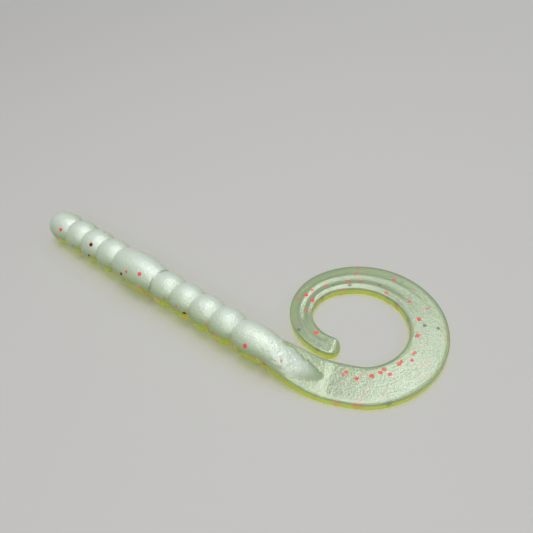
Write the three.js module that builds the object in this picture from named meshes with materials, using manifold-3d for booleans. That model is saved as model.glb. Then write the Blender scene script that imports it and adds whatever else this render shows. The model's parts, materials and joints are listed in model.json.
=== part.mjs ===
// Soft plastic fishing worm with a flat curl tail: a pearl layer bonded on a green layer.
// Millimetres. +X runs from the nose along the body, +Y is the side the tail curls to, +Z is up.
// The origin is the centre of the small flat gate face on the nose, on the body's axis.
// The soft body is divided at its moulded grooves, and the tail at even steps, into links
// that turn on each other as the plastic bends there. Every link has a pearl half on top and
// a green half below, bonded at the parting plane.
import * as THREE from "three";
import { mergeVertices } from "three/addons/utils/BufferGeometryUtils.js";
import Module from "manifold-3d";

const wasm = await Module();
wasm.setup();

const degrees = Math.PI / 180;

// Distances along the centreline from the nose
const headLength = 8.6;
const ringPitch = 5.8;
const bandLength = 12.5;
const lastRingLength = 7.0;
const straightLength = 63.3;
const stemEnd = 83.0;

// Radii of the round body
const headRadius = 3.9;
const frontRingRadius = 4.05;
const bandRadius = 4.3;
const rearRingRadius = 3.9;
const lastRingRadius = 3.8;
const grooveDepth = 0.42;
const gateRadius = 1.2;

// Roundness of a barrel: how far its radius has dropped at a share of the way to its end
const shoulderDrop = 0.12;
const shoulderShare = 0.5;

// The head's nose is elliptical over a share of its length, and its shoulder sits near the groove
const noseShare = 0.6;
const noseSegments = 5;
const headShoulderShare = 0.8;
const headShoulderDrop = 0.15;

// The worm lies on a level surface: every round link and the flat tail touch it
const restHeight = -headRadius;
const bladeGreenThickness = 1.3;
const bladePearlThickness = 0.9;
const bladeFlatness = 1.5;
const tailArcs = [
  { radius: 71.0, turn: 17.0 },
  { radius: 14.1, turn: 228.0 },
  { radius: 9.9, turn: 78.0 },
  { radius: 6.4, turn: 45.0 },
  { radius: 14.4, turn: 19.0 },
];
const bladeHalfWidths = [
  { at: stemEnd, half: 4.3 },
  { at: 110.0, half: 3.95 },
  { at: 132.0, half: 3.55 },
  { at: 150.0, half: 2.4 },
  { at: 158.0, half: 2.05 },
];
const tipEndShare = 0.25;
const tailJointStations = [91.0, 102.0, 113.0, 124.0, 135.0, 144.0, 151.5, 158.0];

// Clearances
const bondGap = 0.3;
const jointGap = 0.3;
const bodyBend = 15.0;
const tailBend = 20.0;
const flutterBend = 15.0;

const radialSegments = 20;
const sectionSegments = 8;
const stemSteps = 6;
const tailLinkSteps = 3;
const tipSteps = 5;
const cutterSize = 60.0;

const layers = {
  pearl: { arc: [0, Math.PI], side: 1, material: { color: 0xc9d6c6, roughness: 0.35, metalness: 0 } },
  green: { arc: [Math.PI, 2 * Math.PI], side: -1, material: { color: 0x93a132, roughness: 0.3, metalness: 0 } },
};

const arcLength = (arc) => arc.radius * arc.turn * degrees;
const wormLength = straightLength + tailArcs.reduce((sum, arc) => sum + arcLength(arc), 0);
const bladeLaminationHeight = restHeight + bladeGreenThickness;

// The point and heading of the centreline at a distance from the nose, seen from above
function centreline(distance) {
  let x = Math.min(distance, straightLength);
  let y = 0;
  let heading = 0;
  let left = distance - straightLength;
  for (const arc of tailArcs) {
    if (left <= 0) break;
    const turn = Math.min(left, arcLength(arc)) / arc.radius;
    x += arc.radius * (Math.sin(heading + turn) - Math.sin(heading));
    y -= arc.radius * (Math.cos(heading + turn) - Math.cos(heading));
    heading += turn;
    left -= arcLength(arc);
  }
  return { x, y, heading };
}

function smoothStep(value) {
  const t = Math.min(Math.max(value, 0), 1);
  return t * t * (3 - 2 * t);
}

function mix(from, to, share) {
  return from + (to - from) * share;
}

// Half the blade's width, with a round end at the tip
function bladeHalfWidth(distance) {
  const stations = bladeHalfWidths;
  const last = stations[stations.length - 1];
  let half = stations[0].half;
  for (let i = 1; i < stations.length; i += 1) {
    const share = (distance - stations[i - 1].at) / (stations[i].at - stations[i - 1].at);
    half = share > 0 ? mix(stations[i - 1].half, stations[i].half, Math.min(share, 1)) : half;
  }
  const fromTip = Math.max(wormLength - distance, 0) / last.half;
  const tipShare = fromTip < 1 ? Math.sqrt(1 - (1 - fromTip) ** 2) : 1;
  return half * Math.max(tipShare, tipEndShare);
}

// Section sizes where the round body flattens into the blade: the stem lies between them
function sectionAt(distance, stemStart) {
  const share = smoothStep((distance - stemStart) / (stemEnd - stemStart));
  return {
    halfWidth: distance < stemEnd ? mix(lastRingRadius - grooveDepth, bladeHalfWidth(stemEnd), share)
      : bladeHalfWidth(distance),
    bondHeight: mix(lastRingRadius - headRadius, bladeLaminationHeight, share),
    pearlHeight: mix(lastRingRadius - grooveDepth, bladePearlThickness, share),
    greenHeight: mix(lastRingRadius - grooveDepth, bladeGreenThickness, share),
    flatness: mix(1, bladeFlatness, share),
  };
}

// A closed geometry as a solid: shared vertices are merged, and triangles left without area dropped
function toSolid(geometry) {
  const bare = geometry.clone();
  bare.deleteAttribute("normal");
  bare.deleteAttribute("uv");
  const merged = mergeVertices(bare);
  const index = merged.index.array;
  const kept = [];
  for (let i = 0; i < index.length; i += 3) {
    const [a, b, c] = [index[i], index[i + 1], index[i + 2]];
    if (a !== b && b !== c && c !== a) kept.push(a, b, c);
  }
  return new wasm.Manifold(new wasm.Mesh({
    numProp: 3,
    vertProperties: new Float32Array(merged.attributes.position.array),
    triVerts: new Uint32Array(kept),
  }));
}

function toGeometry(solid) {
  const mesh = solid.getMesh();
  const geometry = new THREE.BufferGeometry();
  geometry.setAttribute("position", new THREE.BufferAttribute(new Float32Array(mesh.vertProperties), 3));
  geometry.setIndex(new THREE.BufferAttribute(new Uint32Array(mesh.triVerts), 1));
  return geometry;
}

function layerMesh(name, layerName, geometry) {
  const mesh = new THREE.Mesh(geometry, new THREE.MeshStandardMaterial(layers[layerName].material));
  mesh.name = `${layerName}_${name}`;
  return mesh;
}

// The half of a round link that one layer fills, above or below the parting plane
function cutToLayer(geometry, side) {
  const halfSpace = new THREE.BoxGeometry(cutterSize, cutterSize, cutterSize);
  halfSpace.translate(0, 0, side * (cutterSize + bondGap) / 2);
  return toGeometry(toSolid(geometry).intersect(toSolid(halfSpace)));
}

// A barrel between two grooves. Its ends are shallow cones, which leave the groove room to close.
function ringProfile(length, radius) {
  const endRadius = radius - grooveDepth;
  const setBack = jointGap / 2 + endRadius * Math.tan(bodyBend / 2 * degrees);
  const half = length / 2;
  return [
    [0, -half + jointGap / 2],
    [endRadius, -half + setBack],
    [radius - shoulderDrop, -half * shoulderShare],
    [radius, 0],
    [radius - shoulderDrop, half * shoulderShare],
    [endRadius, half - setBack],
    [0, half - jointGap / 2],
  ];
}

// The head: a flat gate face, an elliptical nose and a barrel that ends at the first groove
function headProfile() {
  const endRadius = headRadius - grooveDepth;
  const setBack = jointGap / 2 + endRadius * Math.tan(bodyBend / 2 * degrees);
  const noseLength = headLength * noseShare;
  const gateAngle = Math.asin(gateRadius / headRadius);
  const points = [[0, 0]];
  const noseReach = noseLength / Math.cos(gateAngle);
  for (let i = 0; i <= noseSegments; i += 1) {
    const angle = mix(gateAngle, Math.PI / 2, i / noseSegments);
    points.push([headRadius * Math.sin(angle), noseLength - noseReach * Math.cos(angle)]);
  }
  points.push([headRadius - headShoulderDrop, headLength * headShoulderShare]);
  points.push([endRadius, headLength - setBack]);
  points.push([0, headLength - jointGap / 2]);
  return points;
}

// Both halves of a round link whose profile is [radius, distance along the link] pairs
function roundLink(name, profile, station, radius) {
  const lathe = new THREE.LatheGeometry(profile.map(([r, x]) => new THREE.Vector2(r, x)), radialSegments);
  lathe.rotateZ(-Math.PI / 2);
  lathe.rotateX(Math.PI / radialSegments);
  const place = centreline(station);
  const link = new THREE.Group();
  link.position.set(place.x, place.y, radius + restHeight);
  link.rotation.z = place.heading;
  for (const [layerName, layer] of Object.entries(layers)) {
    link.add(layerMesh(name, layerName, cutToLayer(lathe, layer.side)));
  }
  return link;
}

// Both halves of a link of the stem or blade, which follows the centreline between two stations.
// The ends lean back on the outside of the curl, where the links close up as it opens.
function bentLink(name, start, end, startGap, endGap, stemStart, steps) {
  const link = new THREE.Group();
  for (const [layerName, layer] of Object.entries(layers)) {
    const shape = new THREE.Shape();
    shape.absarc(0, 0, 1, layer.arc[0], layer.arc[1]);
    const geometry = new THREE.ExtrudeGeometry(shape, {
      depth: 1, steps, curveSegments: sectionSegments, bevelEnabled: false,
    });
    const position = geometry.attributes.position;
    for (let i = 0; i < position.count; i += 1) {
      const across = position.getX(i);
      const outside = Math.max(-across, 0);
      const from = start + startGap.centre + startGap.outer * outside;
      const to = end - endGap.centre - endGap.outer * outside;
      const distance = mix(from, to, position.getZ(i));
      const place = centreline(distance);
      const section = sectionAt(distance, stemStart);
      const rise = Math.min(Math.abs(position.getY(i)) * section.flatness, 1);
      const height = layer.side > 0 ? section.pearlHeight : section.greenHeight;
      const reach = across * section.halfWidth;
      position.setXYZ(
        i,
        place.x - Math.sin(place.heading) * reach,
        place.y + Math.cos(place.heading) * reach,
        section.bondHeight + layer.side * (bondGap / 2 + rise * (height - bondGap / 2)),
      );
    }
    link.add(layerMesh(name, layerName, toGeometry(toSolid(geometry))));
  }
  return link;
}

function buildWorm() {
  const worm = new THREE.Group();
  worm.add(roundLink("head", headProfile(), 0, headRadius));
  const rings = [
    { name: "ring_1", length: ringPitch, radius: frontRingRadius },
    { name: "ring_2", length: ringPitch, radius: frontRingRadius },
    { name: "ring_3", length: ringPitch, radius: frontRingRadius },
    { name: "band", length: bandLength, radius: bandRadius },
    { name: "ring_4", length: ringPitch, radius: rearRingRadius },
    { name: "ring_5", length: ringPitch, radius: rearRingRadius },
    { name: "ring_6", length: ringPitch, radius: rearRingRadius },
    { name: "ring_7", length: ringPitch, radius: rearRingRadius },
    { name: "ring_8", length: lastRingLength, radius: lastRingRadius },
  ];
  let station = headLength;
  for (const ring of rings) {
    const middle = station + ring.length / 2;
    worm.add(roundLink(ring.name, ringProfile(ring.length, ring.radius), middle, ring.radius));
    station += ring.length;
  }

  const stemStart = station;
  const bodyGap = {
    centre: jointGap / 2 + lastRingRadius * Math.tan(bodyBend / 2 * degrees),
    outer: 0,
  };
  const flutterGap = {
    centre: jointGap / 2 + bladeGreenThickness * Math.tan(flutterBend / 2 * degrees),
    outer: 0,
  };
  worm.add(bentLink("stem", stemStart, stemEnd, bodyGap, flutterGap, stemStart, stemSteps));

  const tailGap = (distance) => ({
    centre: jointGap / 2,
    outer: bladeHalfWidth(distance) * Math.tan(tailBend / 2 * degrees),
  });
  const stations = [stemEnd, ...tailJointStations, wormLength];
  for (let i = 0; i + 1 < stations.length; i += 1) {
    const [start, end] = [stations[i], stations[i + 1]];
    const isTip = end === wormLength;
    const startGap = i === 0 ? flutterGap : tailGap(start);
    const endGap = isTip ? { centre: 0, outer: 0 } : tailGap(end);
    const steps = isTip ? tipSteps : tailLinkSteps;
    worm.add(bentLink(`tail_${i + 1}`, start, end, startGap, endGap, stemStart, steps));
  }
  return worm;
}

export default buildWorm();
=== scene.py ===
import json
import math
import random

import bpy
import numpy as np
from mathutils import Matrix, Vector

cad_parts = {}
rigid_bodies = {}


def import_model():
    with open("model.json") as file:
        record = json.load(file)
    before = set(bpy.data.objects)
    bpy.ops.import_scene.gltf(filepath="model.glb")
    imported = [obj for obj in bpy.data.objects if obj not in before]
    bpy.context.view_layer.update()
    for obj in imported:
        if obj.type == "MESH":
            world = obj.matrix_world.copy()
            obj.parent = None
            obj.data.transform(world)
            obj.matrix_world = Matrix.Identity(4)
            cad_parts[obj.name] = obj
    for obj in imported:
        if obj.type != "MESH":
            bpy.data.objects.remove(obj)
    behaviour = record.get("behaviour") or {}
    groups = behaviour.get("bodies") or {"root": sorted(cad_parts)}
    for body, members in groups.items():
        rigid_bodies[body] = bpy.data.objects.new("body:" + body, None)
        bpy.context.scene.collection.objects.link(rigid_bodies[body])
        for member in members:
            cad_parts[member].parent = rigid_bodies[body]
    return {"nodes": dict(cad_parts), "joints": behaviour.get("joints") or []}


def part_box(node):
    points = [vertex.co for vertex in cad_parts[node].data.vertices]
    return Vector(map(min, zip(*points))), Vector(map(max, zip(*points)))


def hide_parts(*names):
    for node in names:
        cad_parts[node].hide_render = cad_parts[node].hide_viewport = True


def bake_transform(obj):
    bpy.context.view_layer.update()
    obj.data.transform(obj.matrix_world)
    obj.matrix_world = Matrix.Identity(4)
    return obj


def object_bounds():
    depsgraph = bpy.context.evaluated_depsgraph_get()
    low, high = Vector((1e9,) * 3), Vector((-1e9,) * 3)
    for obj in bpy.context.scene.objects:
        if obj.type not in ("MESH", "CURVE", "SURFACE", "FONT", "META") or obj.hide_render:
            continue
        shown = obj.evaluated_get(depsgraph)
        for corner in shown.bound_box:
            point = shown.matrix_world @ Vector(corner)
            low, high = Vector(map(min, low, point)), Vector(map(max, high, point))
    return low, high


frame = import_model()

MM = 0.001
CAD_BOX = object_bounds()

# How finely the skin is built
AROUND = 36
BOND_STRIPS = 8
BODY_STEP = 0.2
BLADE_STEP = 0.4
NOSE_LEAD = 1.5
NOSE_ROWS = 12
TIP_LEAD = 1.8
TIP_ROWS = 14
LEAD_GAP = 0.1
TIP_STOP = 0.002
NORMAL_STEP = 0.02
NORMAL_TURN = 0.01
END_CLEARANCE = 0.001
EDGE_CLEARANCE = 0.002

# Shape details that are finer than the CAD solids
GROOVE_DEPTH = 0.8
LAST_GROOVE_DEPTH = 0.3
GROOVE_SHARPNESS = 2.3
GATE_RADIUS = 1.2
NOSE_SHARE = 0.6
FLAT_POWER = 8.0
GREEN_FLAT_POWER = 10.0
ROUND_POWER = 2.0
EDGE_POWER = 0.85
SKIN_GAP = 0.004
TIP_ROUND_SHARE = 0.8
TIP_MIDDLE_SHARE = 0.86
WIDTH_REACH = 2.2
FRONT_ROLL = math.radians(-8)
REAR_ROLL = math.radians(8)
ROLL_TURNED = 50
FLOOR_LEVEL = -3.9

# The round ridge that runs out on the stem, and the flat wings beside it
RIDGE_END = 81.5
RIDGE_POWER = 0.62
RIDGE_SQUEEZE = 0.62
RIDGE_WANDER = 0.12
RIDGE_EDGE_POWER = 6
RIDGE_BLEND = 1.1
WING_HEIGHT = 1.25

# How lumpy the skin is, and how the flow lines are stretched along it and packed across it
BODY_LUMPS = 0.2
CURL_LUMPS = 0.03
ROOT_LUMPS = 0.11
RIDGE_LUMPS = 0.6
FLOW_ALONG = 0.12
FLOW_ACROSS = 3.0

# Low lines along the curl's pearl face: height, then place and width as shares of the half width
RELIEF_START = 112
RELIEF_GROWTH = 16
RELIEF = [(0.07, -0.15, 0.16), (0.10, 0.62, 0.14), (-0.06, 0.26, 0.18)]

# Flakes. The density is per cubic millimetre of the green layer
FLAKE_RADIUS = 0.56
FLAKE_THICKNESS = 0.05
FLAKE_DENSITY = 0.13
HALF_OVAL_AREA = 1.6
FLAKE_MARGIN = 0.5
SEEN_FLAKE_CORNERS = 12
SEEN_FLAKE_RINGS = 4
SEEN_FLAKE_LIFT = 0.012
RED_SHARE = 0.6
TAIL_FLAKES = 36
TAIL_RED_SHARE = 0.88
SEED = 7


# ---------------------------------------------------------------- the frame's stations

JOINTS = frame["joints"]
LINKS = [JOINTS[0]["parent"]] + [joint["child"] for joint in JOINTS]
BLADE_FIRST = LINKS.index("stem")


def pivot(joint):
    return np.array(joint["pos_m"][:2]) / MM


def corners(node):
    low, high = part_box(node)
    return np.array(low) / MM, np.array(high) / MM


def circle_tangents(points):
    """Directions at each point of the circle through it and its two neighbours."""
    tangents = []
    for i in range(len(points)):
        j = min(max(i, 1), len(points) - 2)
        before, after = points[j] - points[j - 1], points[j + 1] - points[j]
        a, b = np.linalg.norm(before), np.linalg.norm(after)
        middle = (before / a * b + after / b * a) / (a + b)
        if i == 0:
            middle = 2 * before / a - middle
        if i == len(points) - 1:
            middle = 2 * after / b - middle
        tangents.append(middle / np.linalg.norm(middle))
    return np.array(tangents)


def tip_point():
    """The far end of the tail's middle line."""
    low, high = corners("pearl_" + LINKS[-1])
    half = (high[1] - low[1]) / 2
    return np.array([high[0], high[1] - half * TIP_MIDDLE_SHARE])


POINTS = np.array([[0.0, 0.0]] + [pivot(joint) for joint in JOINTS] + [tip_point()])
TANGENTS = circle_tangents(POINTS)
TANGENTS[:BLADE_FIRST] = (1.0, 0.0)


def arc_lengths():
    lengths = [0.0]
    for i in range(len(POINTS) - 1):
        chord = np.linalg.norm(POINTS[i + 1] - POINTS[i])
        turn = math.acos(min(1.0, float(TANGENTS[i] @ TANGENTS[i + 1])))
        lengths.append(lengths[-1] + (chord if turn < 1e-4 else chord * turn / 2 / math.sin(turn / 2)))
    return np.array(lengths)


STATIONS = arc_lengths()
LENGTH = STATIONS[-1]


def centreline(distance):
    """Position and unit tangent of the middle line at distances from the nose."""
    s = np.clip(np.atleast_1d(np.asarray(distance, float)), 0, LENGTH)
    i = np.clip(np.searchsorted(STATIONS, s, side="right") - 1, 0, len(STATIONS) - 2)
    span = STATIONS[i + 1] - STATIONS[i]
    t = ((s - STATIONS[i]) / span)[:, None]
    p, q = POINTS[i], POINTS[i + 1]
    turn = np.arccos(np.clip((TANGENTS[i] * TANGENTS[i + 1]).sum(1), -1, 1))
    reach = span * np.where(turn < 1e-4, 1, 4 * np.tan(turn / 4) / np.maximum(turn, 1e-9))
    m, n = TANGENTS[i] * reach[:, None], TANGENTS[i + 1] * reach[:, None]
    where = ((2 * t**3 - 3 * t**2 + 1) * p + (t**3 - 2 * t**2 + t) * m
             + (3 * t**2 - 2 * t**3) * q + (t**3 - t**2) * n)
    along = ((6 * t**2 - 6 * t) * p + (3 * t**2 - 4 * t + 1) * m + (6 * t - 6 * t**2) * q
             + (3 * t**2 - 2 * t) * n)
    return where, along / np.linalg.norm(along, axis=1, keepdims=True)


def smooth(value):
    t = np.clip(value, 0, 1)
    return t * t * (3 - 2 * t)


def mix(a, b, share):
    return a + (b - a) * share


def soft_steps(distance, stations, values):
    """Values at the stations, joined by level-ended curves."""
    stations, values = np.asarray(stations, float), np.asarray(values, float)
    i = np.clip(np.searchsorted(stations, distance, side="right") - 1, 0, len(stations) - 2)
    return mix(values[i], values[i + 1], smooth((distance - stations[i]) / (stations[i + 1] - stations[i])))


MIDDLES = (STATIONS[:-1] + STATIONS[1:]) / 2
BODY_END = STATIONS[BLADE_FIRST]
STEM_END = STATIONS[BLADE_FIRST + 1]


def link_radius(link):
    low, high = corners("green_" + link)[0], corners("pearl_" + link)[1]
    return (high[2] - low[2]) / 2


def link_axis_height(link):
    low, high = corners("green_" + link)[0], corners("pearl_" + link)[1]
    return (high[2] + low[2]) / 2


RADII = np.array([link_radius(link) for link in LINKS[:BLADE_FIRST]])
AXIS_HEIGHTS = np.array([link_axis_height(link) for link in LINKS[:BLADE_FIRST]])
END_RADIUS = RADII[-1] - LAST_GROOVE_DEPTH

BLADE_NODE = "tail_4"
BLADE_LOW, BLADE_TOP = corners("green_" + BLADE_NODE)[0][2], corners("pearl_" + BLADE_NODE)[1][2]
BLADE_BOND = (corners("green_" + BLADE_NODE)[1][2] + corners("pearl_" + BLADE_NODE)[0][2]) / 2


def half_width_near(index):
    """Half the blade's width at a joint, read from the CAD link that starts there."""
    place, along = centreline(STATIONS[index])
    node = frame["nodes"]["pearl_" + LINKS[min(index, len(LINKS) - 2)]]
    co = np.array([v.co for v in node.data.vertices])[:, :2] / MM - place[0]
    across = co @ np.array([-along[0][1], along[0][0]])
    return np.abs(across[np.abs(co @ along[0]) < WIDTH_REACH]).max()


WIDTH_STATIONS = np.arange(BLADE_FIRST + 1, len(STATIONS) - 1)
HALF_WIDTHS = np.array([half_width_near(i) for i in WIDTH_STATIONS])


# ---------------------------------------------------------------- the section at each station

def body_radius(s):
    """Barrels between grooves, and the nose."""
    i = np.clip(np.searchsorted(STATIONS, s, side="right") - 1, 0, BLADE_FIRST - 1)
    radius = RADII[i]
    start, end = STATIONS[i], STATIONS[i + 1]
    q = np.abs((s - (start + end) / 2) / ((end - start) / 2))
    ending = (i == BLADE_FIRST - 1) & (s > (start + end) / 2)
    depth = np.where(ending, LAST_GROOVE_DEPTH, GROOVE_DEPTH)
    barrel = radius - depth * q ** GROOVE_SHARPNESS
    nose = STATIONS[1] * NOSE_SHARE
    gate = math.asin(GATE_RADIUS / RADII[0])
    rise = np.clip((nose - s) / (nose / math.cos(gate)), 0, 1)
    after = RADII[0] - GROOVE_DEPTH * np.clip((s - nose) / (STATIONS[1] - nose), 0, 1) ** GROOVE_SHARPNESS
    head = np.where(s < nose, RADII[0] * np.sqrt(1 - rise**2), after)
    return np.where(i == 0, head, barrel)


def blade_half_width(s):
    half = np.interp(s, STATIONS[WIDTH_STATIONS], HALF_WIDTHS)
    from_tip = np.clip((LENGTH - s) / HALF_WIDTHS[-1], 0, 1)
    return half * np.sqrt(np.clip(1 - (1 - from_tip) ** 2, 0, 1))


def stem_share(s):
    return smooth((s - BODY_END) / (STEM_END - BODY_END))


def ridge(s, reach):
    """Height over the bond of the stem's round ridge, at a distance off the middle line."""
    t = np.clip((s - BODY_END) / (RIDGE_END - BODY_END), 0, 1)
    grown = smooth(t * 4) * smooth(3 - 3 * t)
    wander = RIDGE_WANDER * (np.sin(s * 3.1 + 0.8 * np.sin(s * 0.9)) + np.sin(s * 1.7 + 1)) * grown
    radius = END_RADIUS * (1 - t) ** RIDGE_POWER
    reach = np.where(reach < 0, reach * mix(1.0, RIDGE_SQUEEZE, smooth(t * 2.5)), reach)
    radius = radius + wander * smooth(reach / np.maximum(radius, 0.1) * 2 - 0.6)
    return np.sqrt(np.clip(radius**2 - reach**2, 0, None))


def relief(s, across):
    """Low lines on the curl's pearl face: a middle ridge, a rib by the inner edge and a hollow between."""
    grown = smooth((s - RELIEF_START) / RELIEF_GROWTH) * smooth((LENGTH - 2 - s) / 6)
    return grown * sum(height * np.exp(-((across - place) / width) ** 2) for height, place, width in RELIEF)


def pearl_tail_height(s, across, curve):
    """The stem's ridge, joined softly to the flat wings beside it and to the blade after it."""
    wing = curve * mix(WING_HEIGHT, BLADE_TOP - BLADE_BOND, stem_share(s))
    edge = np.clip(1 - np.abs(across) ** RIDGE_EDGE_POWER, 0, 1) ** 0.5
    tall = ridge(s, across * half_width(s)) * mix(1.0, edge, smooth((s - BODY_END) / 3))
    blend = RIDGE_BLEND * curve * (1 - smooth((s - RIDGE_END + 1.5) / 4)) + 1e-6
    gap = np.clip(0.5 + 0.5 * (tall - wing) / blend, 0, 1)
    merged = mix(wing, tall, gap) + blend * gap * (1 - gap)
    return mix(tall, merged, smooth((s - BODY_END) / 1.5)) + relief(s, across) * curve


def skin_height(s, across, side):
    """Height above the bond (pearl, side 1) or below it (green, side -1) at a share of the half width."""
    share = stem_share(s)
    power = mix(ROUND_POWER, FLAT_POWER if side > 0 else GREEN_FLAT_POWER, share)
    curve = np.clip(1 - np.abs(across) ** power, 0, 1) ** (1 / power)
    tip = np.clip((LENGTH - s) / (HALF_WIDTHS[-1] * TIP_ROUND_SHARE), 0, 1)
    rounding = np.sqrt(np.clip(1 - (1 - tip) ** 2, 0, 1))
    if side > 0:
        tail = pearl_tail_height(s, across, curve)
    else:
        tail = curve * mix(END_RADIUS, BLADE_BOND - BLADE_LOW, share)
    return np.where(s <= BODY_END, curve * body_radius(np.minimum(s, BODY_END)), tail * rounding)


def half_width(s):
    stem = mix(END_RADIUS, HALF_WIDTHS[0], stem_share(s))
    tail = np.where(s < STEM_END, stem, blade_half_width(s))
    return np.where(s <= BODY_END, body_radius(np.minimum(s, BODY_END)), tail)


def bond_height(s):
    body = soft_steps(np.minimum(s, MIDDLES[BLADE_FIRST - 1]), MIDDLES[:BLADE_FIRST], AXIS_HEIGHTS)
    return mix(body, BLADE_BOND, stem_share(s))


def share_across(s, angle):
    """Share of the half width at an angle: 0 at the edge on the curl's inner side, pi at the outer edge."""
    return np.sign(np.cos(angle)) * np.abs(np.cos(angle)) ** mix(1.0, EDGE_POWER, stem_share(s))


def bond_roll(s):
    """The round body lies rolled over a little, so its bond plane leans. The flat tail doesn't."""
    return mix(FRONT_ROLL, REAR_ROLL, smooth(s / ROLL_TURNED)) * (1 - smooth((s - BODY_END + 3) / 8))


def skin_point(s, angle, side):
    """Points of the skin at stations and angles from the inner edge, and their heights over the bond."""
    s, angle = np.broadcast_arrays(np.asarray(s, float), np.asarray(angle, float))
    shape, s, angle = s.shape, s.ravel(), angle.ravel()
    across = share_across(s, angle)
    where, along = centreline(s)
    height = skin_height(s, across, side)
    reach = across * half_width(s)
    up = side * (SKIN_GAP + height)
    roll = bond_roll(s)
    out, up = reach * np.cos(roll) + up * np.sin(roll), up * np.cos(roll) - reach * np.sin(roll)
    x = where[:, 0] - along[:, 1] * out
    y = where[:, 1] + along[:, 0] * out
    z = np.maximum(bond_height(s) + up, FLOOR_LEVEL)
    return np.stack([x, y, z], -1).reshape(shape + (3,)), height.reshape(shape)


# ---------------------------------------------------------------- materials

class Nodes:
    """Small helper that adds and wires shader nodes."""

    def __init__(self, name):
        self.material = bpy.data.materials.new(name)
        self.material.use_nodes = True
        self.tree = self.material.node_tree
        self.tree.nodes.clear()
        self.output = self.tree.nodes.new("ShaderNodeOutputMaterial")

    def add(self, kind, inputs=None, **settings):
        node = self.tree.nodes.new("ShaderNode" + kind)
        for key, value in settings.items():
            setattr(node, key, value)
        for key, value in (inputs or {}).items():
            self.put(node.inputs[key], value)
        return node

    def put(self, socket, value):
        if isinstance(value, bpy.types.NodeSocket):
            self.tree.links.new(value, socket)
        elif isinstance(value, bpy.types.Node):
            self.tree.links.new(value.outputs[0], socket)
        else:
            socket.default_value = value

    def maths(self, operation, a, b=0.0):
        return self.add("Math", {0: a, 1: b}, operation=operation)

    def mix(self, share, a, b):
        return self.add("MixShader", {0: share, 1: a, 2: b})

    def colours(self, share, a, b, **settings):
        node = self.add("Mix", data_type="RGBA", **settings)
        self.put(node.inputs[0], share)
        self.put(node.inputs[6], a)
        self.put(node.inputs[7], b)
        return node.outputs[2]

    def times(self, a, b):
        return self.colours(1.0, a, b, blend_type="MULTIPLY")

    def number(self, name):
        """A number that each point of the piece carries under this name."""
        return self.add("Attribute", attribute_name=name).outputs["Fac"]

    def place(self, name):
        """A place that each point of the piece carries under this name."""
        return self.add("Attribute", attribute_name=name).outputs["Vector"]

    def fade(self, start, end, share):
        """Runs from start to end as the share runs from 0 to 1."""
        return self.maths("SUBTRACT", start, self.maths("MULTIPLY", share, start - end))

    def step_down(self, value, first, last):
        """1 up to the first value and 0 from the last, with a soft step between."""
        ends = {0: value, 1: first, 2: last, 3: 1.0, 4: 0.0}
        return self.add("MapRange", ends, interpolation_type="SMOOTHSTEP").outputs[0]

    def finish(self, shader):
        self.put(self.output.inputs[0], shader)
        return self.material


PEARL_MILK = (0.66, 0.75, 0.66, 1)
# Darker milk where the pearl is shallow: the green below, and painted shade for light lost through the thin
# plastic
SHADED_SHALLOW_MILK = (0.25, 0.33, 0.23, 1)
# Edge tints: the green below seen through thin pearl with painted green light carried up from it; on the
# blade's edges, painted light for light piped along the thin plastic
THIN_TINT_AND_PAINTED_LIGHT = (0.36, 0.48, 0.18, 1)
BLADE_EDGE_PAINTED_LIGHT = (0.52, 0.62, 0.34, 1)
PEARL_GLOW = (0.60, 0.70, 0.48, 1)
GREEN_MILK = (0.46, 0.53, 0.05, 1)
GREEN_GLOW = (0.70, 0.78, 0.08, 1)
# Colour of the painted glow: emission at the pearl's thin edges and over the whole green layer, standing in
# for light piped along the plastic
PAINTED_PIPED_GLOW = (0.55, 0.60, 0.02, 1)
WHITE = (1, 1, 1, 1)
RED = (0.92, 0.03, 0.035, 1)
BLACK = (0.012, 0.016, 0.012, 1)
DARK_RED = (0.20, 0.008, 0.02, 1)
GREY = (0.09, 0.12, 0.14, 1)

# How fast red, green and blue light die away in the plastic: exponents per millimetre
PEARL_LOSS = (0.80, 0.74, 0.90)
GREEN_LOSS = (0.16, 0.12, 0.60)
GREEN_SHADOW_LOSS = (0.26, 0.2, 0.8)
BOND_LOSS = (0.20, 0.16, 0.45)
FLAKE_LOSS = (0.16, 0.16, 0.3)

# Millimetres: the depth over which the pearl turns milky, the depths between which the green below and the
# painted shade of the shallow milk stop showing through it, and the longest way through the green that still
# dims a flake
PEARL_REACH = 0.75
SHALLOW = (1.1, 2.0)
FLAKE_VIEW_REACH = 8.0

GLOSS_IOR = 1.45
CLEAR_IOR = 1.3
PEARL_CLEAR_ROUGHNESS = 0.12
GREEN_CLEAR_ROUGHNESS = 0.06
GREEN_GLOSS = 0.16
FLAKE_GLOSS = 0.22
DEEP_FLAKE_GLOSS = 0.4

# Shares: light let through by the milk, milk in the green, milk at the pearl's very edge
PEARL_TRANSLUCENT = 0.12
GREEN_TRANSLUCENT = 0.5
GREEN_CLOUD = 0.5
PEARL_EDGE_CLOUD = 0.45

# Strength of the painted glow, an emission standing in for light piped along the clear plastic, and of the
# flakes' painted glow
PEARL_PAINTED_GLOW = 0.22
PEARL_PAINTED_GLOW_POWER = 4.0
GREEN_PAINTED_GLOW = 0.2
DEEP_FLAKE_PAINTED_GLOW = 0.25

# Depths of the skin's bumps, in metres
LUMP_DEPTH = 0.0004
STREAK_DEPTH = 0.0001
PORE_DEPTH = 0.00022
STREAK_STRENGTH = 0.30

# On the body, and on the blade
PEARL_GLOSS = (0.35, 0.23)
MICA_SHARE = (0.16, 0.10)
MICA_ROUGHNESS = (0.38, 0.25)
PORE_STRENGTH = (0.6, 0.2)


def passed(nodes, length, loss):
    """Colour left of white light after a length in millimetres of tinted plastic."""
    parts = [nodes.maths("EXPONENT", nodes.maths("MULTIPLY", length, -value)) for value in loss]
    return nodes.add("CombineColor", {0: parts[0], 1: parts[1], 2: parts[2]}).outputs[0]


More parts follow.
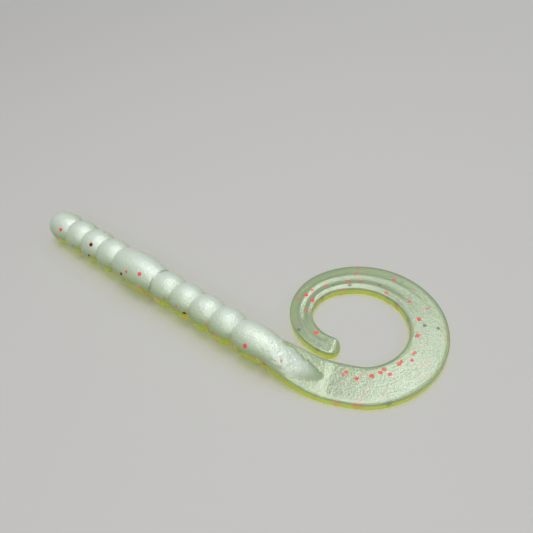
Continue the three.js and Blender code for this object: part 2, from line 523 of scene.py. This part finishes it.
def run_inside(nodes):
    """Millimetres the ray has run since it entered the plastic, and 0 for rays from outside."""
    length = nodes.add("LightPath").outputs["Ray Length"]
    back = nodes.add("NewGeometry").outputs["Backfacing"]
    return nodes.maths("MULTIPLY", nodes.maths("MULTIPLY", length, 1 / MM), back)


def bump(nodes, strength, distance, texture, below=None):
    """Bumps from a texture, over those already there. The distance is in metres."""
    inputs = {"Strength": strength, "Distance": distance, "Height": texture.outputs[0]}
    if below:
        inputs["Normal"] = below.outputs[0]
    return nodes.add("Bump", inputs)


def skin_normal(nodes):
    """Lumps, flow lines and pores left by the mould and by handling, that break up the highlights."""
    place = nodes.place("rest_co")
    lumps = nodes.add("TexNoise", {"Vector": place, "Scale": 0.9, "Detail": 2.0})
    streaks = nodes.add("TexNoise", {"Vector": nodes.place("flow"), "Scale": 1.0, "Detail": 2.0})
    pores = nodes.add("TexNoise", {"Vector": place, "Scale": 2.6, "Detail": 3.0})
    lumpy = bump(nodes, nodes.number("lumpy"), LUMP_DEPTH, lumps)
    streaked = bump(nodes, STREAK_STRENGTH, STREAK_DEPTH, streaks, lumpy)
    fine = nodes.fade(*PORE_STRENGTH, nodes.number("blade"))
    return bump(nodes, fine, PORE_DEPTH, pores, streaked).outputs[0]


def sheen(nodes, inner, normal, roughness):
    """The wet-looking gloss that lies over everything."""
    gloss = nodes.add("BsdfGlossy", {"Color": WHITE, "Roughness": roughness, "Normal": normal})
    fresnel = nodes.add("Fresnel", {"IOR": GLOSS_IOR, "Normal": normal})
    back = nodes.add("NewGeometry").outputs["Backfacing"]
    share = nodes.maths("MULTIPLY", fresnel, nodes.maths("SUBTRACT", 1.0, back))
    return nodes.mix(share, inner, gloss)


def with_shadow(nodes, shader, tint):
    """Light on its way to other surfaces runs through, and takes the plastic's tint."""
    path = nodes.add("LightPath")
    return nodes.mix(path.outputs["Is Shadow Ray"], shader, nodes.add("BsdfTransparent", {"Color": tint}))


def front_only(nodes, tint):
    """The tint where light enters the skin, and none where it leaves."""
    back = nodes.add("NewGeometry").outputs["Backfacing"]
    return nodes.colours(back, tint, WHITE)


def pearl_milk(nodes, depth, blade):
    """Colour of the milk: darker where the pearl is shallow, partly the green below and partly painted shade
    for light lost through the thin plastic; at its edges the green below with painted light carried up from
    it, and brighter painted light on the blade's edges.
    """
    # Painted shade: darker milk where the pearl is shallow. At the edges, the green below with painted light
    # carried up from it
    shallow = nodes.maths("MULTIPLY", nodes.step_down(depth, *SHALLOW), nodes.fade(0.3, 1.0, blade))
    core = nodes.colours(shallow, PEARL_MILK, SHADED_SHALLOW_MILK)
    edge = nodes.colours(blade, THIN_TINT_AND_PAINTED_LIGHT, BLADE_EDGE_PAINTED_LIGHT)
    return nodes.colours(nodes.number("thinness"), core, edge)


def pearl_material():
    nodes = Nodes("pearl_plastic")
    normal = skin_normal(nodes)
    depth = nodes.number("thickness")
    blade = nodes.number("blade")
    seen = passed(nodes, run_inside(nodes), GREEN_LOSS)
    milk_colour = nodes.times(seen, pearl_milk(nodes, depth, blade))
    diffuse = nodes.add("BsdfDiffuse", {"Color": milk_colour, "Normal": normal})
    through = nodes.add("BsdfTranslucent", {"Color": nodes.times(seen, PEARL_GLOW)})
    coarse = nodes.fade(*MICA_ROUGHNESS, blade)
    mica = nodes.add("BsdfGlossy", {"Color": PEARL_MILK, "Roughness": coarse, "Normal": normal})
    milk = nodes.mix(nodes.fade(*MICA_SHARE, blade), nodes.mix(PEARL_TRANSLUCENT, diffuse, through), mica)
    clear = nodes.add("BsdfRefraction", {"Color": WHITE, "Roughness": PEARL_CLEAR_ROUGHNESS,
                                         "IOR": CLEAR_IOR, "Normal": normal})
    gone = nodes.maths("EXPONENT", nodes.maths("MULTIPLY", depth, -1 / PEARL_REACH))
    # Painted glow: the pearl's thinnest edges emit green, standing in for light piped along the plastic
    rim = nodes.maths("MULTIPLY", nodes.maths("POWER", gone, PEARL_PAINTED_GLOW_POWER), PEARL_PAINTED_GLOW)
    piped_painted_glow = nodes.add("Emission", {"Color": PAINTED_PIPED_GLOW, "Strength": rim})
    cloud = nodes.mix(nodes.fade(1.0, PEARL_EDGE_CLOUD, gone), clear, milk)
    inner = nodes.add("AddShader", {0: cloud, 1: piped_painted_glow})
    skin = sheen(nodes, inner, normal, nodes.fade(*PEARL_GLOSS, blade))
    return nodes.finish(with_shadow(nodes, skin, front_only(nodes, passed(nodes, depth, PEARL_LOSS))))


def green_material():
    nodes = Nodes("green_plastic")
    normal = skin_normal(nodes)
    seen = passed(nodes, run_inside(nodes), GREEN_LOSS)
    diffuse = nodes.add("BsdfDiffuse", {"Color": nodes.times(seen, GREEN_MILK), "Normal": normal})
    through = nodes.add("BsdfTranslucent", {"Color": nodes.times(seen, GREEN_GLOW)})
    milk = nodes.mix(GREEN_TRANSLUCENT, diffuse, through)
    clear = nodes.add("BsdfRefraction", {"Color": seen, "Roughness": GREEN_CLEAR_ROUGHNESS,
                                         "IOR": CLEAR_IOR, "Normal": normal})
    # Painted glow: the green layer emits a little all over, standing in for light piped along the clear
    # plastic
    piped_painted_glow = nodes.add("Emission", {"Color": nodes.times(seen, PAINTED_PIPED_GLOW), "Strength": GREEN_PAINTED_GLOW})
    inner = nodes.add("AddShader", {0: nodes.mix(GREEN_CLOUD, clear, milk), 1: piped_painted_glow})
    skin = sheen(nodes, inner, normal, GREEN_GLOSS)
    shade = passed(nodes, nodes.number("thickness"), GREEN_SHADOW_LOSS)
    return nodes.finish(with_shadow(nodes, skin, front_only(nodes, shade)))


def bond_material():
    """The bond plane. Both layers are clear enough to see through it, and it only tints the light."""
    nodes = Nodes("bond")
    clear = nodes.add("BsdfTransparent", {"Color": WHITE})
    return nodes.finish(with_shadow(nodes, clear, passed(nodes, nodes.number("thickness"), BOND_LOSS)))


def deep_flake_material(name, colour):
    """A flake inside the green layer: the plastic in front of it dims and tints it, and a painted glow, an
    emission of its own colour, keeps it bright.
    """
    nodes = Nodes(name)
    length = nodes.maths("MULTIPLY", nodes.add("LightPath").outputs["Ray Length"], 1 / MM)
    veil = passed(nodes, nodes.maths("MINIMUM", length, FLAKE_VIEW_REACH), FLAKE_LOSS)
    seen = nodes.times(veil, colour)
    diffuse = nodes.add("BsdfDiffuse", {"Color": seen})
    gloss = nodes.add("BsdfGlossy", {"Color": seen, "Roughness": DEEP_FLAKE_GLOSS})
    # Painted glow: the flake emits a little of its dimmed colour, standing in for light reaching it through
    # the plastic
    flake_painted_glow = nodes.add("Emission", {"Color": seen, "Strength": DEEP_FLAKE_PAINTED_GLOW})
    return nodes.finish(nodes.add("AddShader", {0: nodes.mix(0.2, diffuse, gloss), 1: flake_painted_glow}))


def skin_flake_material(name, colour):
    """A flake just under the pearl skin: a veil of milk over it, soft at its rim, under the same gloss."""
    nodes = Nodes(name)
    normal = skin_normal(nodes)
    veil = nodes.number("veil")
    seen = nodes.colours(nodes.maths("MULTIPLY", veil, 0.5), colour, PEARL_MILK)
    diffuse = nodes.add("BsdfDiffuse", {"Color": seen, "Normal": normal})
    skin = sheen(nodes, diffuse, normal, FLAKE_GLOSS)
    edge = nodes.step_down(nodes.number("rim"), nodes.fade(0.94, 0.04, veil), 1.0)
    solid = nodes.maths("MULTIPLY", edge, nodes.fade(1.0, 0.4, veil))
    clear = nodes.add("BsdfTransparent", {"Color": WHITE})
    return nodes.finish(nodes.mix(solid, clear, skin))


SKINS = {"pearl": pearl_material(), "green": green_material()}
BOND = bond_material()
DEEP_FLAKES = [deep_flake_material("red_flake", RED), deep_flake_material("black_flake", BLACK)]
SKIN_FLAKES = [
    skin_flake_material("red_flake_under_pearl", RED),
    skin_flake_material("dark_flake_under_pearl", DARK_RED),
    skin_flake_material("grey_flake_under_pearl", GREY),
]


# ---------------------------------------------------------------- pieces

SIDES = {"pearl": 1, "green": -1}


def span_ends(index):
    """First and last station of the piece that bends at joint number index."""
    first = 0.0 if index == 0 else MIDDLES[index]
    last = LENGTH if index == len(JOINTS) - 1 else MIDDLES[index + 1]
    return first, last


def sample_stations(first, last):
    """Stations of a piece's rows, closer together where the nose or the tip rounds off."""
    step = BODY_STEP if first < STEM_END else BLADE_STEP
    count = max(4, int(round((last - first) / step)))
    stations = np.linspace(first, last, count + 1)
    if first == 0.0:
        lead = (1 - np.cos(np.linspace(0, math.pi / 2, NOSE_ROWS))) * NOSE_LEAD
        stations = np.concatenate([lead, stations[stations > NOSE_LEAD + LEAD_GAP]])
    if last == LENGTH:
        tail = LENGTH - (1 - np.cos(np.linspace(math.pi / 2, 0, TIP_ROWS))) * TIP_LEAD
        stations = np.concatenate([stations[stations < LENGTH - TIP_LEAD - LEAD_GAP], tail])
        stations[-1] = LENGTH - TIP_STOP
    return stations


def add_mesh(name, vertices, faces, materials, face_materials):
    mesh = bpy.data.meshes.new(name)
    mesh.from_pydata([tuple(v * MM) for v in vertices], [], faces)
    for material in materials:
        mesh.materials.append(material)
    mesh.polygons.foreach_set("material_index", face_materials)
    mesh.update()
    piece = bpy.data.objects.new(name, mesh)
    bpy.context.scene.collection.objects.link(piece)
    return piece


def give(piece, name, values, kind="FLOAT"):
    layer = piece.data.attributes.new(name, kind, "POINT")
    layer.data.foreach_set("value" if kind == "FLOAT" else "vector", np.asarray(values, np.float32).ravel())


def skin_piece(name, layer, first, last):
    """One layer's skin between two stations. The pearl's also carries the bond plane under it."""
    side = SIDES[layer]
    stations = sample_stations(first, last)
    angles = np.linspace(0, math.pi, AROUND + 1)
    loop, depths = skin_point(stations[:, None], angles[None, :], side)
    shares = np.linspace(0, 1, BOND_STRIPS + 1)[1:-1] if side > 0 else np.zeros(0)
    if side > 0:
        inner, outer = loop[:, :1], loop[:, -1:]
        strip = inner + (outer - inner) * shares[None, :, None]
        green = skin_height(np.broadcast_to(stations[:, None], strip.shape[:2]), 1 - 2 * shares[None, :], -1)
        loop = np.concatenate([loop, strip[:, ::-1]], axis=1)
        depths = np.concatenate([depths, green[:, ::-1]], axis=1)
    rows, ring = loop.shape[:2]
    vertices = loop.reshape(-1, 3)
    faces, kinds = [], []
    for r in range(rows - 1):
        for c in range(ring if side > 0 else AROUND):
            a, b = r * ring + c, r * ring + (c + 1) % ring
            quad = (a, b, b + ring, a + ring)
            faces.append(quad if side > 0 else quad[::-1])
            kinds.append(0 if c < AROUND else 1)
    if first == 0.0:
        gate = tuple(range(ring - 1, -1, -1))
        faces.append(gate if side > 0 else gate[::-1])
        kinds.append(0)
    if last == LENGTH:
        tip = tuple(range((rows - 1) * ring, rows * ring))
        faces.append(tip if side > 0 else tip[::-1])
        kinds.append(0)
    piece = add_mesh(name, vertices, faces, [SKINS[layer], BOND], kinds)
    smooth_skin(piece, skin_normals(stations[:, None], angles[None, :], side), ring)
    give(piece, "thickness", depths)
    # Share for the edge tints and their painted light: 1 where the layer is thinnest, 0 where it is thickest
    # in each row
    thinness = 1 - depths / np.maximum(depths.max(axis=1, keepdims=True), 1e-6)
    give(piece, "thinness", thinness ** mix(1.0, 3.0, stem_share(stations[:, None])))
    give(piece, "lumpy", lumpiness(stations[:, None], angles[None, :], ring))
    give(piece, "blade", np.repeat(stem_share(stations), ring))
    give(piece, "rest_co", vertices, "FLOAT_VECTOR")
    give(piece, "flow", flow_lines(stations, angles, shares), "FLOAT_VECTOR")
    return piece


def lumpiness(s, angle, ring):
    """How lumpy the skin is: a little on the body, most on the stem's ridge, hardly on the flat curl."""
    tall = ridge(s, share_across(s, angle) * half_width(s))
    on_ridge = smooth((s - BODY_END) / 4) * smooth((RIDGE_END + 1 - s) / 3) * smooth((tall - 1.0) / 0.8)
    on_root = smooth((s - BODY_END) / 6) * smooth((RIDGE_END + 16 - s) / 16)
    skin = mix(BODY_LUMPS, CURL_LUMPS, stem_share(s)) + ROOT_LUMPS * on_root + RIDGE_LUMPS * on_ridge
    return np.concatenate([skin, np.zeros((len(s), ring - skin.shape[1]))], axis=1)


def flow_lines(stations, angles, shares):
    """Texture places that run along the worm, for the fine lines left by the plastic's flow in the mould."""
    station = stations[:, None]
    skin = share_across(station, angles[None, :]) * half_width(station)
    bond = np.broadcast_to((1 - 2 * shares[None, ::-1]) * half_width(station), (len(stations), len(shares)))
    across = np.concatenate([skin, bond], axis=1)
    length = np.broadcast_to(station * FLOW_ALONG, across.shape)
    return np.stack([length, across * FLOW_ACROSS * stem_share(station), 0 * across], -1).reshape(-1, 3)


def skin_normals(s, angle, side):
    """Outward normals of the skin, from small steps along it and around it."""
    ends = (END_CLEARANCE, LENGTH - END_CLEARANCE)
    edges = (EDGE_CLEARANCE, math.pi - EDGE_CLEARANCE)
    ahead, _ = skin_point(np.clip(s + NORMAL_STEP, *ends), angle, side)
    behind, _ = skin_point(np.clip(s - NORMAL_STEP, *ends), angle, side)
    above, _ = skin_point(s, np.clip(angle + NORMAL_TURN, *edges), side)
    below, _ = skin_point(s, np.clip(angle - NORMAL_TURN, *edges), side)
    normal = np.cross(above - below, ahead - behind) * side
    return normal / np.maximum(np.linalg.norm(normal, axis=-1, keepdims=True), 1e-12)


def smooth_skin(piece, normal, ring):
    """Gives the outer skin normals that run on from piece to piece, and leaves the other faces flat."""
    mesh = piece.data
    custom = []
    for polygon in mesh.polygons:
        for index in polygon.vertices:
            r, c = divmod(index, ring)
            if polygon.material_index == 0 and c < normal.shape[1] and len(polygon.vertices) == 4:
                custom.append(tuple(normal[r, c]))
            else:
                custom.append(tuple(polygon.normal))
    mesh.polygons.foreach_set("use_smooth", [True] * len(mesh.polygons))
    mesh.normals_split_custom_set(custom)


def ride(piece):
    """Bakes the piece's placement into its mesh."""
    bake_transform(piece)


def hexagon(centre, normal, turn, radius):
    """Vertices and faces of one thin six-sided flake."""
    normal = normal / np.linalg.norm(normal)
    helper = np.array([1.0, 0, 0]) if abs(normal[0]) < 0.9 else np.array([0, 1.0, 0])
    u = np.cross(normal, helper)
    u = u / np.linalg.norm(u)
    v = np.cross(normal, u)
    angles = turn + np.arange(6) * math.pi / 3
    rim = np.outer(np.cos(angles), u) + np.outer(np.sin(angles), v)
    lift = normal * FLAKE_THICKNESS / 2
    vertices = np.concatenate([centre + rim * radius - lift, centre + rim * radius + lift])
    faces = [tuple(range(5, -1, -1)), tuple(range(6, 12))]
    faces += [(i, (i + 1) % 6, (i + 1) % 6 + 6, i + 6) for i in range(6)]
    return vertices, faces


def inner_point(s, across, depth):
    """A place in the green layer: share of the half width, and share of the way down from the bond."""
    place, along = centreline(s)
    left = np.array([-along[0][1], along[0][0]])
    station = np.array([s])
    reach = across * half_width(station)[0]
    down = depth * skin_height(station, np.array([across]), -1)[0]
    roll = bond_roll(s)
    out, up = reach * math.cos(roll) - down * math.sin(roll), -down * math.cos(roll) - reach * math.sin(roll)
    return np.array([*(place[0] + left * out), bond_height(station)[0] + up])


def is_inside(points, s):
    """True if the points near a station all lie well inside the green layer."""
    place, along = centreline(s)
    forward = (points[:, :2] - place[0]) @ along[0]
    stations = np.clip(s + forward, 0.01, LENGTH - 0.01)
    places, ways = centreline(stations)
    offset = points[:, :2] - places
    out = -offset[:, 0] * ways[:, 1] + offset[:, 1] * ways[:, 0]
    up = points[:, 2] - bond_height(stations)
    roll = bond_roll(stations)
    reach, down = out * np.cos(roll) - up * np.sin(roll), -(up * np.cos(roll) + out * np.sin(roll))
    across = reach / half_width(stations)
    room = skin_height(stations, np.clip(across, -1, 1), -1)
    return bool(np.all((np.abs(across) < 0.95) & (down < 0.94 * room) & (down > 0.02)))


def deep_flakes(name, first, last, rng):
    """Flakes inside the green layer between two stations, at random in the body and flat in the blade."""
    vertices, faces, kinds = [], [], []
    middle = np.array([(first + last) / 2])
    wide = half_width(middle)[0]
    tall = skin_height(middle, np.array([0.0]), -1)[0]
    count = max(2, round((last - first) * wide * tall * HALF_OVAL_AREA * FLAKE_DENSITY))
    while count > 0:
        s = rng.uniform(first + FLAKE_MARGIN, last - FLAKE_MARGIN)
        across = rng.uniform(-0.92, 0.92)
        depth = rng.uniform(0.05, 0.95)
        tall = skin_height(np.array([s]), np.array([across]), -1)[0]
        room = min(depth, 1 - depth) * tall
        slope = min(1.0, room / FLAKE_RADIUS * 0.9)
        tilt = rng.uniform(-1, 1) * math.asin(slope)
        heading = rng.uniform(0, 2 * math.pi)
        lean = math.sin(tilt)
        normal = np.array([lean * math.cos(heading), lean * math.sin(heading), math.cos(tilt)])
        radius = FLAKE_RADIUS * rng.uniform(0.85, 1.05)
        new_vertices, new_faces = hexagon(inner_point(s, across, depth), normal, rng.uniform(0, 1), radius)
        if not is_inside(new_vertices, s):
            continue
        count -= 1
        base = len(vertices)
        vertices += list(new_vertices)
        faces += [tuple(base + i for i in face) for face in new_faces]
        kinds += [0 if rng.random() < RED_SHARE else 1] * len(new_faces)
    return add_mesh(name, np.array(vertices), faces, DEEP_FLAKES, kinds)


# The body's conspicuous flakes under the pearl skin: station, angle from the inner edge in degrees,
# half size, turn, veil, kind
NEAR_FLAKES = [
    (7.0, 133, 0.50, 0.1, 0.10, 0),
    (12.5, 164, 0.60, 0.7, 0.90, 0),
    (18.5, 125, 0.52, 0.4, 0.00, 1),
    (18.5, 166, 0.36, 0.2, 0.20, 1),
    (18.0, 52, 0.60, 0.0, 0.90, 0),
    (30.5, 162, 0.42, 0.9, 0.00, 1),
    (32.0, 146, 0.45, 0.3, 0.30, 0),
    (35.5, 132, 0.58, 0.6, 0.25, 0),
    (43.5, 163, 0.52, 0.2, 0.75, 0),
    (47.5, 162, 0.50, 0.8, 0.60, 0),
    (49.5, 177, 0.45, 0.1, 0.00, 1),
    (66.0, 153, 0.56, 0.5, 0.20, 0),
    (73.5, 122, 0.50, 0.3, 0.80, 0),
]


def pearl_point(s, degrees):
    point, _ = skin_point(s, math.radians(degrees), SIDES["pearl"])
    return point


def near_flake(s, degrees, size, turn):
    """One six-sided flake on the pearl skin: its centre, rings of points around it, and their rim shares."""
    centre = pearl_point(s, degrees)
    along = np.linalg.norm(pearl_point(s + 0.05, degrees) - centre) / 0.05
    about = np.linalg.norm(pearl_point(s, degrees + 1) - centre)
    points, rims = [centre], [0.0]
    for step in range(1, SEEN_FLAKE_RINGS + 1):
        share = step / SEEN_FLAKE_RINGS
        for corner in range(SEEN_FLAKE_CORNERS):
            angle = turn + corner * math.pi / 6
            reach = size * share * (1.0 if corner % 2 == 0 else math.cos(math.pi / 6))
            ds, da = reach * math.cos(angle) / along, reach * math.sin(angle) / about
            points.append(pearl_point(s + ds, degrees + da))
            rims.append(share)
    return np.array(points), rims


def tail_flakes(rng):
    """Flakes seen through the pearl of the tail, at random, more of them near its inner edge."""
    made = []
    for _ in range(TAIL_FLAKES):
        s = rng.uniform(STEM_END, LENGTH - 4)
        degrees = rng.triangular(30, 145, 60)
        kind = 0 if rng.random() < TAIL_RED_SHARE else 2
        made.append((s, degrees, rng.uniform(0.42, 0.6), rng.uniform(0, 1), rng.uniform(0.2, 0.6), kind))
    return made


def near_flakes(name, first, last, flakes):
    """The flakes of the list between two stations, lifted just clear of the pearl skin."""
    vertices, faces, kinds, rims, veils = [], [], [], [], []
    ring = SEEN_FLAKE_CORNERS
    for s, degrees, size, turn, veil, kind in flakes:
        if not first <= s < last:
            continue
        points, new_rims = near_flake(s, degrees, size, turn)
        base = len(vertices)
        normal = np.cross(points[1] - points[0], points[1 + ring // 4] - points[0])
        normal = normal / np.linalg.norm(normal) * (1 if normal[2] > 0 else -1)
        vertices += list(points + normal * SEEN_FLAKE_LIFT)
        faces += [(base, base + 1 + c, base + 1 + (c + 1) % ring) for c in range(ring)]
        for step in range(SEEN_FLAKE_RINGS - 1):
            for c in range(ring):
                a, b = base + 1 + step * ring + c, base + 1 + step * ring + (c + 1) % ring
                faces.append((a, a + ring, b + ring, b))
        kinds += [kind] * (ring * SEEN_FLAKE_RINGS)
        rims += new_rims
        veils += [veil] * len(points)
    if not vertices:
        return None
    piece = add_mesh(name, np.array(vertices), faces, SKIN_FLAKES, kinds)
    piece.data.polygons.foreach_set("use_smooth", [True] * len(piece.data.polygons))
    give(piece, "rim", rims)
    give(piece, "veil", veils)
    give(piece, "rest_co", vertices, "FLOAT_VECTOR")
    give(piece, "flow", np.zeros((len(vertices), 3)), "FLOAT_VECTOR")
    give(piece, "lumpy", np.full(len(vertices), 0.1))
    give(piece, "blade", np.ones(len(vertices)))
    return piece


def build_worm():
    rng = random.Random(SEED)
    seen = NEAR_FLAKES + tail_flakes(rng)
    for index, joint in enumerate(JOINTS):
        first, last = span_ends(index)
        for layer in SIDES:
            piece = skin_piece(f"{layer}_skin_{joint['name']}", layer, first, last)
            replaced = [f"{layer}_{joint['parent']}"]
            if index == len(JOINTS) - 1:
                replaced.append(f"{layer}_{joint['child']}")
            ride(piece)
            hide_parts(*replaced)
        flakes = deep_flakes(f"green_flakes_{joint['name']}", first, last, rng)
        ride(flakes)
        flakes = near_flakes(f"pearl_flakes_{joint['name']}", first, last, seen)
        if flakes:
            ride(flakes)


# ---------------------------------------------------------------- stage, light and camera

BACKGROUND = (0.55, 0.55, 0.54, 1)
FLOOR_COLOUR = (0.46, 0.455, 0.445, 1)
FLOOR_SIZE = 3.0
FLOOR_FADE = (0.10, 0.38)


def floor(level):
    """A plain pale floor, that fades into the background at a distance in metres for the camera only."""
    nodes = Nodes("pale_floor")
    noise = nodes.add("TexNoise", {"Scale": 900.0, "Detail": 4.0})
    grain = bump(nodes, 0.03, 0.0002, noise)
    surface = nodes.add("BsdfPrincipled", {"Base Color": FLOOR_COLOUR, "Roughness": 0.7,
                                           "Normal": grain.outputs[0]})
    place = nodes.add("NewGeometry").outputs["Position"]
    away = nodes.add("VectorMath", {0: place}, operation="LENGTH").outputs["Value"]
    far = nodes.maths("SUBTRACT", 1.0, nodes.step_down(away, *FLOOR_FADE))
    seen = nodes.maths("MULTIPLY", far, nodes.add("LightPath").outputs["Is Camera Ray"])
    shader = nodes.mix(seen, surface, nodes.add("Emission", {"Color": BACKGROUND}))
    corners_m = [(x * FLOOR_SIZE, y * FLOOR_SIZE, level) for x, y in ((-1, -1), (1, -1), (1, 1), (-1, 1))]
    mesh = bpy.data.meshes.new("floor")
    mesh.from_pydata(corners_m, [], [(0, 1, 2, 3)])
    mesh.materials.append(nodes.finish(shader))
    plane = bpy.data.objects.new("floor", mesh)
    bpy.context.scene.collection.objects.link(plane)


# Name, azimuth and elevation in degrees, distance, width and height in metres, power in watts, colour
LIGHTS = [
    ("softbox_top", 140, 83, 0.5, 0.36, 0.26, 1.35, (1.0, 0.99, 0.97)),
    ("softbox_back", 100, 57, 0.62, 0.12, 0.15, 0.55, (1.0, 1.0, 1.0)),
    ("softbox_side", 20, 35, 0.5, 0.3, 0.3, 0.25, (0.95, 0.97, 1.0)),
    ("softbox_front", -60, 50, 0.6, 0.5, 0.4, 1.5, (1.0, 1.0, 1.0)),
]


def area_light(target, name, azimuth, elevation, distance, width, height, power, colour):
    data = bpy.data.lights.new(name, "AREA")
    data.shape = "RECTANGLE"
    data.size, data.size_y = width, height
    data.energy = power
    data.color = colour
    lamp = bpy.data.objects.new(name, data)
    a, e = math.radians(azimuth), math.radians(elevation)
    away = Vector((math.cos(a) * math.cos(e), math.sin(a) * math.cos(e), math.sin(e)))
    lamp.location = target + away * distance
    lamp.rotation_mode = "QUATERNION"
    lamp.rotation_quaternion = away.to_track_quat("Z", "Y")
    bpy.context.scene.collection.objects.link(lamp)


ROOM_COLOUR = (0.86, 0.88, 0.90, 1)
ROOM_STRENGTH = 0.26


def room():
    """Soft light from all round, with the plain background where the camera looks past the floor."""
    world = bpy.data.worlds.new("soft_room")
    world.use_nodes = True
    tree = world.node_tree
    light = tree.nodes["Background"]
    light.inputs[0].default_value = ROOM_COLOUR
    light.inputs[1].default_value = ROOM_STRENGTH
    wall = tree.nodes.new("ShaderNodeBackground")
    wall.inputs[0].default_value = BACKGROUND
    path = tree.nodes.new("ShaderNodeLightPath")
    pick = tree.nodes.new("ShaderNodeMixShader")
    tree.links.new(path.outputs["Is Camera Ray"], pick.inputs[0])
    tree.links.new(light.outputs[0], pick.inputs[1])
    tree.links.new(wall.outputs[0], pick.inputs[2])
    tree.links.new(pick.outputs[0], tree.nodes["World Output"].inputs[0])
    bpy.context.scene.world = world


# Angles in degrees, the aim's place and the camera's height over the floor in metres
VIEW_HEADING = 132.5
VIEW_ELEVATION = 45.07
VIEW_ROLL = -5.4
VIEW_HEIGHT = 0.0952
VIEW_ANGLE = 50.0
AIM = (0.05194, 0.02077)


def camera(level):
    """The camera looks down at the worm from the side of its tail, at the photograph's angle."""
    h, e = math.radians(VIEW_HEADING), math.radians(VIEW_ELEVATION)
    forward = Vector((math.cos(h) * math.cos(e), math.sin(h) * math.cos(e), -math.sin(e)))
    data = bpy.data.cameras.new("camera")
    data.angle = math.radians(VIEW_ANGLE)
    data.clip_start = 0.001
    view = bpy.data.objects.new("camera", data)
    view.location = Vector((*AIM, level)) - forward * (VIEW_HEIGHT / math.sin(e))
    side = forward.cross(Vector((0, 0, 1))).normalized()
    above = side.cross(forward)
    roll = math.radians(VIEW_ROLL)
    right = side * math.cos(roll) + above * math.sin(roll)
    up = above * math.cos(roll) - side * math.sin(roll)
    view.rotation_mode = "QUATERNION"
    view.rotation_quaternion = Matrix((right, up, -forward)).transposed().to_quaternion()
    bpy.context.scene.collection.objects.link(view)
    bpy.context.scene.camera = view


build_worm()
low, high = CAD_BOX
centre = (low + high) / 2
floor(low.z)
for settings in LIGHTS:
    area_light(Vector((centre.x, centre.y, low.z)), *settings)
room()
camera(low.z)
bpy.context.scene.view_settings.view_transform = "Standard"
